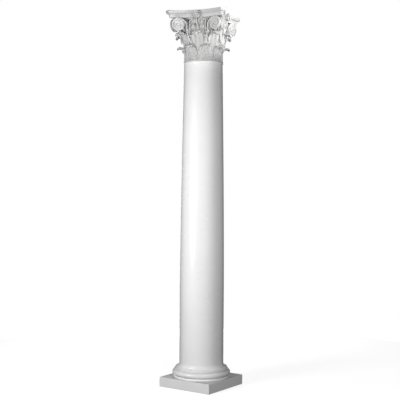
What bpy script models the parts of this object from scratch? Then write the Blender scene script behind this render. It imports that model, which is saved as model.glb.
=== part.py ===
"""A round column: square plinth, torus base, hollow shaft with entasis, and a Corinthian capital.

Metres, +Z up. The origin is on the floor, at the centre of the plinth's underside, and the plinth's
sides lie along X and Y. Each of the four pieces rests on the one below it, and one bore runs through
all of them.
"""

import math

import bmesh
import bpy
from mathutils import Matrix, Vector

# Whole column
TOTAL_HEIGHT = 2.438
SEAT_GAP = 0.0003
WALL = 0.030
ROUND_SIDES = 32

# Plinth
PLINTH_SIDE = 0.393
PLINTH_HEIGHT = 0.0635
PLINTH_EDGE = 0.0015

# Base: a flat disc, a half-round torus and a low step
DISC_RADIUS = 0.186
DISC_HEIGHT = 0.0120
TORUS_RADIUS = 0.1900
TORUS_HEIGHT = 0.0355
STEP_RADIUS = 0.1765
STEP_HEIGHT = 0.0060

# Shaft
FOOT_RADIUS = 0.1448
NECK_RADIUS = 0.1262
STRAIGHT_SHARE = 0.22
ENTASIS_POWER = 1.5
FILLET_REACH = 0.0255
FILLET_HEIGHT = 0.0110
FOOT_COVE_REACH = 0.0225
FOOT_COVE_HEIGHT = 0.0260
NECK_COVE_REACH = 0.0035
NECK_COVE_HEIGHT = 0.0120
NECK_LIP = 0.0030

# Capital: its plan is set out in radii of the neck, and its heights are shares of its own height
CAPITAL_HEIGHT = 0.323
CAPITAL_TURN = math.radians(17.8)
ASTRAGAL_HEIGHT = 0.0458 * CAPITAL_HEIGHT
ASTRAGAL_REACH = 0.031 * NECK_RADIUS
BELL_RADIUS = 0.969 * NECK_RADIUS
BELL_FLARE = 0.093 * NECK_RADIUS
BELL_LIP = 0.0775 * NECK_RADIUS

# Abacus: a square with hollowed sides and cut corners
ABACUS_HEIGHT = 0.1393 * CAPITAL_HEIGHT
ABACUS_LIP = 0.3333 * ABACUS_HEIGHT
ABACUS_SIDE = 3.217 * NECK_RADIUS
ABACUS_HORN = 0.310 * NECK_RADIUS
ABACUS_HOLLOW = 0.333 * NECK_RADIUS
ABACUS_COVE = 0.163 * NECK_RADIUS

# Leaves: eight low ones, and eight high ones that alternate between horn and face
LOW_RISE = 0.306 * CAPITAL_HEIGHT
LOW_REACH = 0.376 * NECK_RADIUS
LOW_WIDTH = 0.729 * NECK_RADIUS
HIGH_RISE = 0.576 * CAPITAL_HEIGHT
HORN_REACH = 0.612 * NECK_RADIUS
FACE_REACH = 0.519 * NECK_RADIUS
HIGH_WIDTH = 0.682 * NECK_RADIUS
COVERED_SHARE = 0.51
LEAF_TURN = math.radians(155.0)
LEAF_CURL_POWER = 3.0
LEAF_EDGE = 0.031 * NECK_RADIUS
LEAF_RIB = 0.035 * NECK_RADIUS
LEAF_LOBES = 4
LOBE_DEPTH = 0.17

# Scrolls: each tightens from turn to turn, and its stalk swings out beside its first quarter turn
SCROLL_TIGHTENING = 0.33
SCROLL_POWER = 1.15
SCROLL_SWING = 0.33

# Corner volutes, in pairs under each horn
VOLUTE_RADIUS = 0.1424 * CAPITAL_HEIGHT
VOLUTE_RUN = 1.589 * NECK_RADIUS
VOLUTE_SPREAD = 0.186 * NECK_RADIUS
VOLUTE_SLANT = math.radians(25.0)
VOLUTE_TURNS = 1.5
VOLUTE_BAND = 0.070 * NECK_RADIUS
VOLUTE_WIDTH = 0.155 * NECK_RADIUS
VOLUTE_FOOT = (-0.620 * NECK_RADIUS, -0.340 * CAPITAL_HEIGHT)

# Inner helices, in pairs under each flower
HELIX_RADIUS = 0.0712 * CAPITAL_HEIGHT
HELIX_RUN = 1.130 * NECK_RADIUS
HELIX_SPREAD = 0.198 * NECK_RADIUS
HELIX_SLANT = math.radians(65.0)
HELIX_TURNS = 1.0
HELIX_BAND = 0.050 * NECK_RADIUS
HELIX_WIDTH = 0.186 * NECK_RADIUS
HELIX_FOOT = (-0.310 * NECK_RADIUS, -0.310 * CAPITAL_HEIGHT)

# Stems from which a volute and a helix grow
STEM_RADIUS = 0.1085 * NECK_RADIUS
STEM_BOTTOM = 0.263 * CAPITAL_HEIGHT
STEM_TOP = 0.520 * CAPITAL_HEIGHT

# Flower in the middle of each side of the abacus
FLOWER_RADIUS = 0.600 * ABACUS_HEIGHT
FLOWER_REACH = 0.186 * NECK_RADIUS
FLOWER_PETALS = 5

WHITE_GLOSS = ((0.86, 0.86, 0.86), 0.28)
WHITE_MATT = ((0.84, 0.84, 0.84), 0.60)

BASE_BOTTOM = PLINTH_HEIGHT + SEAT_GAP
SHAFT_BOTTOM = BASE_BOTTOM + DISC_HEIGHT + TORUS_HEIGHT + STEP_HEIGHT + SEAT_GAP
CAPITAL_BOTTOM = TOTAL_HEIGHT - CAPITAL_HEIGHT
SHAFT_TOP = CAPITAL_BOTTOM - SEAT_GAP
FOOT_BORE = FOOT_RADIUS - WALL
NECK_BORE = NECK_RADIUS - WALL
ABACUS_BOTTOM = CAPITAL_HEIGHT - ABACUS_HEIGHT
ABACUS_WAIST = ABACUS_SIDE / 2 - ABACUS_HOLLOW
SIDES = 4
LEAVES = 2 * SIDES
QUARTER = math.pi / 2


def clear_scene():
    for obj in list(bpy.data.objects):
        bpy.data.objects.remove(obj)


def paint(name, colour_and_roughness):
    """A Principled material of one colour."""
    colour, roughness = colour_and_roughness
    material = bpy.data.materials.new(name)
    material.use_nodes = True
    shader = material.node_tree.nodes["Principled BSDF"]
    shader.inputs["Base Color"].default_value = (*colour, 1.0)
    shader.inputs["Roughness"].default_value = roughness
    shader.inputs["Metallic"].default_value = 0.0
    return material


def make_object(name, bm, material):
    """Turns a bmesh into an object in the scene."""
    bmesh.ops.recalc_face_normals(bm, faces=bm.faces)
    mesh = bpy.data.meshes.new(name)
    bm.to_mesh(mesh)
    bm.free()
    mesh.materials.append(material)
    mesh.shade_smooth()
    mesh.set_sharp_from_angle(angle=math.radians(40))
    obj = bpy.data.objects.new(name, mesh)
    bpy.context.scene.collection.objects.link(obj)
    return obj


def boolean(obj, operation, others):
    """Joins or cuts an object with others, which are used up."""
    group = bpy.data.collections.new(obj.name + "_others")
    for other in others:
        group.objects.link(other)
    step = obj.modifiers.new("boolean", "BOOLEAN")
    step.operation = operation
    step.solver = "EXACT"
    step.operand_type = "COLLECTION"
    step.collection = group
    graph = bpy.context.evaluated_depsgraph_get()
    mesh = bpy.data.meshes.new_from_object(obj.evaluated_get(graph))
    obj.modifiers.clear()
    obj.data = mesh
    for other in others:
        bpy.data.objects.remove(other)
    bpy.data.collections.remove(group)


def fill_pockets(obj):
    """Drops the inner skins of closed pockets that are left between joined solids."""
    bm = bmesh.new()
    bm.from_mesh(obj.data)
    waiting = set(bm.faces)
    skins = []
    while waiting:
        skin = set()
        edge_of_skin = [waiting.pop()]
        while edge_of_skin:
            face = edge_of_skin.pop()
            skin.add(face)
            near = {other for edge in face.edges for other in edge.link_faces} & waiting
            waiting -= near
            edge_of_skin += near
        skins.append(skin)
    skins.sort(key=len)
    for skin in skins[:-1]:
        bmesh.ops.delete(bm, geom=list(skin), context="FACES")
    bm.to_mesh(obj.data)
    bm.free()


def turned(name, outline, material):
    """A ring turned about Z from a closed outline of (radius, height) points."""
    bm = bmesh.new()
    corners = [bm.verts.new((radius, 0.0, height)) for radius, height in outline]
    edges = [bm.edges.new((a, b)) for a, b in zip(corners, corners[1:] + corners[:1])]
    bmesh.ops.spin(bm, geom=corners + edges, cent=(0, 0, 0), axis=(0, 0, 1), angle=2 * math.pi,
                   steps=ROUND_SIDES, use_merge=True, use_duplicate=False)
    bmesh.ops.remove_doubles(bm, verts=bm.verts, dist=1e-6)
    return make_object(name, bm, material)


def lofted(name, rings, material, turn=0.0):
    """A closed solid through rings that have one number of points, turned about Z at the end."""
    bm = bmesh.new()
    loops = [[bm.verts.new(point) for point in ring] for ring in rings]
    for below, above in zip(loops, loops[1:]):
        for i in range(len(below)):
            bm.faces.new((below[i - 1], below[i], above[i], above[i - 1]))
    bm.faces.new(loops[0][::-1])
    bm.faces.new(loops[-1])
    bmesh.ops.rotate(bm, verts=bm.verts, matrix=Matrix.Rotation(turn, 3, "Z"))
    return make_object(name, bm, material)


def arc(centre, radii, start, end, steps):
    """Points on an ellipse from one angle to another, both ends included."""
    angles = [start + (end - start) * i / steps for i in range(steps + 1)]
    return [(centre[0] + radii[0] * math.cos(a), centre[1] + radii[1] * math.sin(a)) for a in angles]


def cylinder(radius, bottom, top, material):
    """A round bar on the Z axis."""
    bm = bmesh.new()
    bmesh.ops.create_cone(bm, cap_ends=True, segments=ROUND_SIDES, radius1=radius, radius2=radius,
                          depth=top - bottom)
    bmesh.ops.translate(bm, vec=(0, 0, (top + bottom) / 2), verts=bm.verts)
    return make_object("cylinder", bm, material)


def place(obj, height, turn=0.0):
    obj.data.transform(Matrix.Translation((0, 0, height)) @ Matrix.Rotation(turn, 4, "Z"))


def make_plinth(material):
    bm = bmesh.new()
    bmesh.ops.create_cube(bm, size=1.0)
    bmesh.ops.scale(bm, vec=(PLINTH_SIDE, PLINTH_SIDE, PLINTH_HEIGHT), verts=bm.verts)
    bmesh.ops.translate(bm, vec=(0, 0, PLINTH_HEIGHT / 2), verts=bm.verts)
    bmesh.ops.bevel(bm, geom=bm.edges, offset=PLINTH_EDGE, segments=1, affect="EDGES")
    plinth = make_object("plinth", bm, material)
    boolean(plinth, "DIFFERENCE", [cylinder(FOOT_BORE, -PLINTH_HEIGHT, 2 * PLINTH_HEIGHT, material)])


def make_base(material):
    bead = TORUS_HEIGHT / 2
    torus_top = DISC_HEIGHT + TORUS_HEIGHT
    outline = [(FOOT_BORE, 0.0), (DISC_RADIUS, 0.0)]
    outline += [(DISC_RADIUS, DISC_HEIGHT)]
    outline += arc((TORUS_RADIUS - bead, DISC_HEIGHT + bead), (bead, bead), -QUARTER, QUARTER, 6)
    outline += [(STEP_RADIUS, torus_top), (STEP_RADIUS, torus_top + STEP_HEIGHT)]
    outline += [(FOOT_BORE, torus_top + STEP_HEIGHT)]
    place(turned("base", outline, material), BASE_BOTTOM)


def shaft_radius(share):
    """Radius at a share of the height between the coves: straight at first, then drawn in."""
    rise = max(0.0, (share - STRAIGHT_SHARE) / (1 - STRAIGHT_SHARE))
    return FOOT_RADIUS - (FOOT_RADIUS - NECK_RADIUS) * rise**ENTASIS_POWER


def make_shaft(material):
    height = SHAFT_TOP - SHAFT_BOTTOM
    foot = FILLET_HEIGHT + FOOT_COVE_HEIGHT
    neck = height - NECK_LIP - NECK_COVE_HEIGHT
    shares = [0.0] + [STRAIGHT_SHARE + (1 - STRAIGHT_SHARE) * i / 5 for i in range(6)]
    outline = [(FOOT_RADIUS + FILLET_REACH, 0.0), (FOOT_RADIUS + FILLET_REACH, FILLET_HEIGHT)]
    outline += arc((FOOT_RADIUS + FOOT_COVE_REACH, foot), (FOOT_COVE_REACH, FOOT_COVE_HEIGHT),
                   3 * QUARTER, 2 * QUARTER, 4)[:-1]
    outline += [(shaft_radius(s), foot + (neck - foot) * s) for s in shares]
    outline += arc((NECK_RADIUS + NECK_COVE_REACH, neck), (NECK_COVE_REACH, NECK_COVE_HEIGHT),
                   2 * QUARTER, QUARTER, 2)[1:]
    outline += [(NECK_RADIUS + NECK_COVE_REACH, height), (NECK_BORE, height)]
    outline += [(shaft_radius(s) - WALL, foot + (neck - foot) * s) for s in shares[-1:0:-4]]
    outline += [(FOOT_BORE, 0.0)]
    place(turned("shaft", outline, material), SHAFT_BOTTOM)


def make_bell(material):
    """The bell with its astragal below and its lip under the abacus, solid until it is bored."""
    bead = ASTRAGAL_HEIGHT / 2
    lip_middle = ABACUS_BOTTOM - BELL_LIP
    centre = NECK_BORE / 2
    middle = NECK_RADIUS + ASTRAGAL_REACH - bead
    outline = [(centre, 0.0)]
    outline += arc((middle, bead), (bead, bead), -QUARTER, QUARTER, 4)
    outline += [(BELL_RADIUS, ASTRAGAL_HEIGHT), (BELL_RADIUS, CAPITAL_HEIGHT / 2)]
    outline += [(BELL_RADIUS + BELL_FLARE, lip_middle), (BELL_RADIUS + BELL_FLARE + BELL_LIP, lip_middle)]
    outline += [(BELL_RADIUS + BELL_FLARE + BELL_LIP, ABACUS_BOTTOM + ABACUS_HEIGHT / 4)]
    outline += [(centre, ABACUS_BOTTOM + ABACUS_HEIGHT / 4)]
    return turned("capital", outline, material)


def inset(outline, depth):
    """A closed plan outline moved inwards by a depth, square to its edges."""
    moved = []
    for before, here, after in zip(outline[-1:] + outline[:-1], outline, outline[1:] + outline[:1]):
        arriving = (here - before).normalized()
        leaving = (after - here).normalized()
        middle = Vector((-arriving.y - leaving.y, arriving.x + leaving.x)).normalized()
        moved.append(here + middle * depth / middle.dot(Vector((-arriving.y, arriving.x))))
    return moved


def abacus_outline(steps=6):
    """Plan of the abacus, against the clock: four hollow sides joined by the ends of the horns."""
    half = ABACUS_SIDE / 2 - ABACUS_HORN / math.sqrt(2)
    points = []
    for k in range(SIDES):
        for i in range(steps + 1):
            along = half * (2 * i / steps - 1)
            out = ABACUS_WAIST + ABACUS_HOLLOW * (along / half) ** 2
            points.append(Matrix.Rotation(k * QUARTER, 2) @ Vector((out, along)))
    return points


def make_abacus(material):
    """A cove under a lip that overhangs it a little."""
    cove_top = CAPITAL_HEIGHT - ABACUS_LIP
    cove = ABACUS_HEIGHT - ABACUS_LIP
    profile = arc((0.0, ABACUS_BOTTOM), (ABACUS_COVE, cove), 2 * QUARTER, QUARTER, 3)
    profile = [(-across * 0.9 + 0.1 * ABACUS_COVE, height) for across, height in profile]
    profile += [(0.0, cove_top + ABACUS_LIP * 0.15), (0.0, CAPITAL_HEIGHT)]
    outline = abacus_outline()
    rings = [[(*point, height) for point in inset(outline, depth)] for depth, height in profile]
    return lofted("abacus", rings, material)


def leaf_line(rise, reach, steps):
    """(outward, height, lean) along a leaf that stands on the astragal and curls over at its top."""
    fine = 240
    outward, height = [0.0], [0.0]
    for i in range(fine):
        lean = LEAF_TURN * ((i + 0.5) / fine) ** LEAF_CURL_POWER
        outward.append(outward[-1] + math.sin(lean))
        height.append(height[-1] + math.cos(lean))
    foot = ASTRAGAL_HEIGHT / 2
    scale_out = reach / max(outward)
    scale_up = (rise - foot) / max(height)
    picks = [round(fine * i / steps) for i in range(steps + 1)]
    return [(outward[i] * scale_out, foot + height[i] * scale_up,
             LEAF_TURN * (i / fine) ** LEAF_CURL_POWER) for i in picks]


def leaf_half_width(width, share):
    """Half the leaf's width at a share of its length, cut in between its lobes."""
    body = (1 - 0.50 * share**4) * (0.82 + 0.18 * math.sin(math.pi * min(1.0, share / 0.8)))
    lobe = abs(math.sin(math.pi * LEAF_LOBES * share)) ** 0.6
    return width / 2 * body * (1 - LOBE_DEPTH * (1 - lobe))


def make_leaf(rise, reach, width, covered, turn, material):
    """A leaf with a rib down its middle, wrapped round the bell, plain where others cover it."""
    steps = 3 * LEAF_LOBES
    rings = []
    for i, (outward, height, lean) in enumerate(leaf_line(rise, reach, steps)):
        if 0 < i / steps < covered:
            continue
        half = leaf_half_width(width, i / steps)
        front = Vector((math.cos(lean), 0.0, -math.sin(lean)))
        ring = []
        for across, depth in ((-1, 0), (-0.55, LEAF_EDGE), (0, LEAF_RIB + LEAF_EDGE), (0.55, LEAF_EDGE),
                              (1, 0), (1, -LEAF_EDGE), (-1, -LEAF_EDGE)):
            back = (across * half) ** 2 / (2 * BELL_RADIUS)
            middle = Vector((BELL_RADIUS + outward - back, across * half, height))
            ring.append(middle + front * depth)
        rings.append(ring)
    return lofted("leaf", rings, material, turn)


def scroll_line(radius, turns, foot, stalk_steps, turn_steps):
    """(along, up) points and widths' share: a stalk that rises into a spiral wound inwards."""
    outer = radius
    points = []
    for i in range(stalk_steps):
        share = i / stalk_steps
        start = outer * (1 + SCROLL_SWING)
        points.append(Vector(foot) * (1 - share) ** 2
                      + Vector((-start, foot[1] / 2)) * 2 * share * (1 - share)
                      + Vector((-start, 0.0)) * share**2)
    count = round(turns * turn_steps)
    for i in range(count + 1):
        wound = turns * i / count
        angle = math.pi - 2 * math.pi * wound
        swing = SCROLL_SWING * max(0.0, 1 - 4 * wound) ** 2
        size = outer * (1 - SCROLL_TIGHTENING * wound**SCROLL_POWER + swing)
        points.append(Vector((math.cos(angle), math.sin(angle))) * size)
    return points


def make_scroll(centre, slant, side, line, band, width, turn, material):
    """A flat band bent along a line, in an upright plane through a centre."""
    along = Vector((math.cos(slant), -side * math.sin(slant), 0.0))
    across = Vector((-along.y, along.x, 0.0))
    rings = []
    for i, point in enumerate(line):
        before, after = line[max(0, i - 1)], line[min(len(line) - 1, i + 1)]
        heading = (after - before).normalized()
        thick = band / 2 * (1.0 - 0.4 * i / len(line))
        edges = [point - Vector((-heading.y, heading.x)) * thick * k for k in (1, -1)]
        ring = [centre + along * e.x + Vector((0, 0, e.y)) + across * width / 2 * k
                for e, k in zip(edges + edges[::-1], (1, 1, -1, -1))]
        rings.append(ring)
    return lofted("scroll", rings, material, turn)


def make_disc(centre, slant, side, radius, width, turn, material, sides=7):
    """The round web inside a spiral."""
    along = Vector((math.cos(slant), -side * math.sin(slant), 0.0))
    across = Vector((-along.y, along.x, 0.0))
    ring = [along * x + Vector((0, 0, z)) for x, z in arc((0, 0), (radius, radius), 0, 2 * math.pi, sides)[:-1]]
    rings = [[centre + point + across * width / 2 * k for point in ring] for k in (-1, 1)]
    return lofted("disc", rings, material, turn)


def make_volutes(material):
    """Two spirals under each horn, slanted so that they meet at its tip."""
    height = ABACUS_BOTTOM - VOLUTE_RADIUS + VOLUTE_BAND / 3
    line = scroll_line(VOLUTE_RADIUS - VOLUTE_BAND / 2, VOLUTE_TURNS, VOLUTE_FOOT, 2, 8)
    solids = []
    for k in range(SIDES):
        turn = (k + 0.5) * QUARTER
        for side in (-1, 1):
            centre = Vector((VOLUTE_RUN, side * VOLUTE_SPREAD, height))
            solids.append(make_scroll(centre, VOLUTE_SLANT, side, line, VOLUTE_BAND, VOLUTE_WIDTH, turn,
                                      material))
            solids.append(make_disc(centre, VOLUTE_SLANT, side, VOLUTE_RADIUS - VOLUTE_BAND / 2,
                                    VOLUTE_WIDTH * 0.55, turn, material))
    return solids


def make_helices(material):
    """Two small spirals under each flower, curling towards each other."""
    height = ABACUS_BOTTOM - HELIX_RADIUS
    line = scroll_line(HELIX_RADIUS - HELIX_BAND / 2, HELIX_TURNS, HELIX_FOOT, 2, 6)
    solids = []
    for k in range(SIDES):
        for side in (-1, 1):
            centre = Vector((HELIX_RUN, side * HELIX_SPREAD, height))
            solids.append(make_scroll(centre, HELIX_SLANT, side, line, HELIX_BAND, HELIX_WIDTH,
                                      k * QUARTER, material))
    return solids


def make_stems(material):
    solids = []
    for k in range(LEAVES):
        rings = []
        for height, size in ((STEM_BOTTOM, 0.6), (STEM_TOP - STEM_RADIUS, 1.0), (STEM_TOP, 1.25)):
            rings.append([(x, y, height) for x, y in arc((BELL_RADIUS, 0.0), (STEM_RADIUS * size,) * 2,
                                                         0, 2 * math.pi, 6)[:-1]])
        solids.append(lofted("stem", rings, material, (k + 0.5) * QUARTER / 2))
    return solids


def make_flowers(material):
    solids = []
    middle = CAPITAL_HEIGHT - FLOWER_RADIUS
    for k in range(SIDES):
        rings = []
        for reach, size in ((-0.8, 0.8), (0.45, 1.0), (0.8, 0.7), (1.0, 0.25)):
            out = ABACUS_WAIST + FLOWER_REACH * reach
            ring = []
            for i in range(2 * FLOWER_PETALS):
                angle = math.pi * i / FLOWER_PETALS
                radius = FLOWER_RADIUS * size * (1.0 if i % 2 or size < 0.5 else 0.82)
                ring.append((out, radius * math.sin(angle), middle + radius * math.cos(angle)))
            rings.append(ring)
        solids.append(lofted("flower", rings, material, k * QUARTER))
    return solids


def make_leaves(material):
    solids = []
    for k in range(LEAVES):
        step = 2 * math.pi / LEAVES
        reach = HORN_REACH if k % 2 else FACE_REACH
        solids.append(make_leaf(HIGH_RISE, reach, HIGH_WIDTH, COVERED_SHARE, k * step, material))
        solids.append(make_leaf(LOW_RISE, LOW_REACH, LOW_WIDTH, 0.0, (k + 0.5) * step, material))
    return solids


def make_capital(material):
    capital = make_bell(material)
    parts = [make_abacus(material)]
    for makes in (make_leaves, make_stems, make_volutes, make_helices, make_flowers):
        parts += makes(material)
    boolean(capital, "UNION", parts)
    fill_pockets(capital)
    boolean(capital, "DIFFERENCE", [cylinder(NECK_BORE, -WALL, CAPITAL_HEIGHT + WALL, material)])
    place(capital, CAPITAL_BOTTOM, CAPITAL_TURN)


def main():
    clear_scene()
    gloss = paint("white_gloss", WHITE_GLOSS)
    matt = paint("white_matt", WHITE_MATT)
    make_plinth(matt)
    make_base(gloss)
    make_shaft(gloss)
    make_capital(matt)


main()
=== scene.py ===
"""Looks of a tall round column: plinth, turned base, glossy shaft and a leafy, scrolled capital.

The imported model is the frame. Every piece here stands where its solid stands, in metres, with +Z up.
"""

from __future__ import annotations

import logging
import math
from dataclasses import dataclass
from enum import Enum
from typing import Any, Callable, Iterable, Sequence

import bmesh
import bpy
from mathutils import Matrix, Vector

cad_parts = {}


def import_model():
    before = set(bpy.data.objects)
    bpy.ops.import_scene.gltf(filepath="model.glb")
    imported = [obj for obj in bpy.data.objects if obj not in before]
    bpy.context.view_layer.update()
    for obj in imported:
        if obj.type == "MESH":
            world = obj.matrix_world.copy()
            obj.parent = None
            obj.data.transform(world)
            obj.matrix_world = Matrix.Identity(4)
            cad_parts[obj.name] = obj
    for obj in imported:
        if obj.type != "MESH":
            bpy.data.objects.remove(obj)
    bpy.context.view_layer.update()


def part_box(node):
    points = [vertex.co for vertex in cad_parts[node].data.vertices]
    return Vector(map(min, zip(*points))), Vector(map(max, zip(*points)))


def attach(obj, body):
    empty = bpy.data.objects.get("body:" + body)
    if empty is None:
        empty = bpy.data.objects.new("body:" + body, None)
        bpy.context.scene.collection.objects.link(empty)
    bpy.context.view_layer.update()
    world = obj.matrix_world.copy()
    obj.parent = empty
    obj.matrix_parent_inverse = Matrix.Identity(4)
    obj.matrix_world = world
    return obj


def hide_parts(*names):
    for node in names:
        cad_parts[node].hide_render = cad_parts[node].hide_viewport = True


LOG = logging.getLogger("column")
QUARTER = math.pi / 2
SIDES = 4
LEAVES = 8

Ring = list[Vector]
Outline = list[tuple[float, float]]


# Shader maths


class Sock:
    """A node's output socket that takes part in Python expressions on values."""

    def __init__(self, graph: Graph, socket: bpy.types.NodeSocket) -> None:
        """Keeps the socket and the graph it belongs to.

        Args:
            graph: The material being built.
            socket: The output socket to wrap.
        """
        self.graph = graph
        self.socket = socket

    def _math(self, operation: str, *values: Any) -> Sock:
        """Adds one Math node and returns its result."""
        return self.graph.add("ShaderNodeMath", {"operation": operation}, dict(enumerate(values)))

    def __add__(self, other: Any) -> Sock:
        """Sum."""
        return self._math("ADD", self, other)

    def __mul__(self, other: Any) -> Sock:
        """Product."""
        return self._math("MULTIPLY", self, other)

    def __sub__(self, other: Any) -> Sock:
        """Difference."""
        return self._math("SUBTRACT", self, other)

    def __rsub__(self, other: Any) -> Sock:
        """Difference with the socket on the right, as in 1 - mask."""
        return self._math("SUBTRACT", other, self)

    def power(self, exponent: float) -> Sock:
        """The value to a power."""
        return self._math("POWER", self, exponent)

    def between(self, low: float, high: float) -> Sock:
        """The value as a share of the way from low to high, kept from 0 to 1.

        Args:
            low: The value that gives 0.
            high: The value that gives 1.

        Returns:
            The share.
        """
        return self.graph.add(
            "ShaderNodeMapRange",
            {"clamp": True},
            {"Value": self, "From Min": low, "From Max": high},
        )


class Graph:
    """The node tree of one material, built by adding one node at a time."""

    def __init__(self, name: str) -> None:
        """Makes the material with its Principled shader.

        Args:
            name: The material's name.
        """
        self.material = bpy.data.materials.new(name)
        self.material.use_nodes = True
        self.tree = self.material.node_tree
        self.shader = self.tree.nodes["Principled BSDF"]

    def add(
        self,
        kind: str,
        settings: dict[str, Any] | None = None,
        inputs: dict[int | str, Any] | None = None,
        output: int | str = 0,
    ) -> Sock:
        """Adds a node, sets it, links or fills its inputs, and returns one of its outputs.

        Args:
            kind: The node's type.
            settings: Properties, set first.
            inputs: Values or sockets by input name or number.
            output: Which output to return.

        Returns:
            The wrapped output socket.
        """
        node = self.tree.nodes.new(kind)
        for key, value in (settings or {}).items():
            setattr(node, key, value)
        for key, value in (inputs or {}).items():
            self.feed(node.inputs[key], value)
        return Sock(self, node.outputs[output])

    def feed(self, socket: bpy.types.NodeSocket, value: Any) -> None:
        """Links a socket to another, or sets its value.

        Args:
            socket: The input socket.
            value: A wrapped output socket, or a plain value.
        """
        if isinstance(value, Sock):
            self.tree.links.new(value.socket, socket)
        else:
            socket.default_value = value

    def place(self) -> Sock:
        """Object coordinates, in metres."""
        return self.add("ShaderNodeTexCoord", output="Object")

    def noise(self, size: float, detail: float = 3.0, roughness: float = 0.55) -> Sock:
        """Noise from 0 to 1 whose blotches are about one size, in metres, across."""
        settings = {"Vector": self.place(), "Scale": 1.0 / size, "Detail": detail, "Roughness": roughness}
        return self.add("ShaderNodeTexNoise", {"noise_dimensions": "3D"}, settings)

    def part(self, vector: Sock, axis: str) -> Sock:
        """One of the three numbers of a vector."""
        return self.add("ShaderNodeSeparateXYZ", {}, {0: vector}, axis)

    def tint(
        self, mask: Sock, low: Sequence[float], high: Sequence[float], over: Sock | None = None
    ) -> Sock:
        """A colour between two by a mask, multiplied with another if one is given.

        Args:
            mask: 0 for the first colour, 1 for the second.
            low: The first colour.
            high: The second colour.
            over: A colour that the result is multiplied with.

        Returns:
            The colour.
        """
        mixed = self.add(
            "ShaderNodeMix",
            {"data_type": "RGBA"},
            {0: mask, 6: (*low, 1.0), 7: (*high, 1.0)},
            output=2,
        )
        if over is None:
            return mixed
        return self.add(
            "ShaderNodeMix",
            {"data_type": "RGBA", "blend_type": "MULTIPLY"},
            {0: 1.0, 6: over, 7: mixed},
            output=2,
        )

    def bump(self, height: Sock, depth: float, below: Sock | None = None) -> Sock:
        """A normal tipped by a height of up to depth metres, over another bump if one is given.

        Args:
            height: The height, from 0 to 1.
            depth: Metres that a height of 1 stands for.
            below: The bump under it.

        Returns:
            The normal.
        """
        inputs: dict[int | str, Any] = {"Height": height, "Distance": depth, "Strength": 1.0}
        if below is not None:
            inputs["Normal"] = below
        return self.add("ShaderNodeBump", {}, inputs)

    def dress(self, **inputs: Any) -> bpy.types.Material:
        """Feeds the Principled shader, with underscores for the spaces in its sockets' names.

        Args:
            inputs: Values or sockets by input name.

        Returns:
            The material.
        """
        for name, value in inputs.items():
            self.feed(self.shader.inputs[name.replace("_", " ")], value)
        return self.material


# Finishes


@dataclass(frozen=True)
class GlossPaint:
    """Smooth white paint with a wet gloss, a little uneven from the roller."""

    name: str = "gloss_paint"
    slot: str = "white_gloss"
    light: tuple[float, float, float] = (0.830, 0.830, 0.832)
    shade: tuple[float, float, float] = (0.790, 0.790, 0.792)
    roughness: float = 0.24
    coat: float = 0.16

    def material(self) -> bpy.types.Material:
        """Builds the finish.

        Returns:
            The material.
        """
        g = Graph(self.name)
        cloud = g.noise(0.220, 4.0).between(0.35, 0.65)
        specks = g.noise(0.0022, 2.0).between(0.70, 0.78)
        peel = g.noise(0.0060, 2.0, 0.4)
        waves = g.noise(0.090, 1.0)
        colour = g.tint(cloud * 0.8 + specks * 0.2, self.light, self.shade)
        normal = g.bump(waves, 0.00012, g.bump(peel, 0.000020))
        return g.dress(
            Base_Color=colour,
            Roughness=cloud * 0.05 + self.roughness + specks * 0.06,
            Normal=normal,
            Coat_Weight=self.coat,
            Coat_Roughness=0.07,
            Specular_IOR_Level=0.35,
        )


@dataclass(frozen=True)
class CastPlaster:
    """Matt white casting with a fine grain, small pits, painted shade that greys its hollows and, if asked,
    painted shade on faces that look up.
    """

    name: str = "cast_plaster"
    slot: str = "white_matt"
    # These default tones are darker than the plinth's: painted shade over the whole capital, so that its
    # shadows come out deep.
    light: tuple[float, float, float] = (0.480, 0.480, 0.478)
    shade: tuple[float, float, float] = (0.415, 0.414, 0.411)
    roughness: float = 0.62
    grain: float = 0.00022
    # Strength of the painted shade on faces that look up, the distances from the axis over which it thins,
    # and how much it thins
    top_shade: float = 0.0
    top_shade_reach: tuple[float, float] = (0.175, 0.262)
    top_shade_thinning: float = 0.55

    def material(self) -> bpy.types.Material:
        """Builds the finish.

        Returns:
            The material.
        """
        g = Graph(self.name)
        cloud = g.noise(0.060, 5.0).between(0.36, 0.66)
        fine = g.noise(0.0035, 4.0)
        pits = g.noise(0.0050, 2.0).between(0.70, 0.76)
        # Painted shade: pointiness greys hollows, creases and recesses towards the shade tone; cloud and
        # pits add random tone and darker specks.
        hollow = g.add("ShaderNodeNewGeometry", output="Pointiness").between(0.50, 0.44)
        hollow_shade_and_tone = hollow * 0.55 + cloud * 0.25 + pits * 0.2
        colour = g.tint(hollow_shade_and_tone, self.light, self.shade)
        # Painted shade: faces that look up are darkened, most close to the column's foot.
        if self.top_shade:
            colour = g.tint(self.top_shade_mask(g), (1.0, 1.0, 1.0), (0.0, 0.0, 0.0), colour)
        normal = g.bump(1.0 - pits, 0.00025, g.bump(fine, self.grain))
        return g.dress(
            Base_Color=colour,
            Roughness=cloud * 0.12 + self.roughness,
            Normal=normal,
            Specular_IOR_Level=0.35,
        )

    def top_shade_mask(self, g: Graph) -> Sock:
        """Painted shade on faces that look up, deepest towards the column's foot.

        Args:
            g: The material being built.

        Returns:
            A mask of the painted shade.
        """
        upward = g.part(g.add("ShaderNodeNewGeometry", output="Normal"), "Z").between(0.5, 0.9)
        place = g.place()
        away = (g.part(place, "X").power(2.0) + g.part(place, "Y").power(2.0)).power(0.5)
        return upward * (1.0 - away.between(*self.top_shade_reach) * self.top_shade_thinning) * self.top_shade


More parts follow.
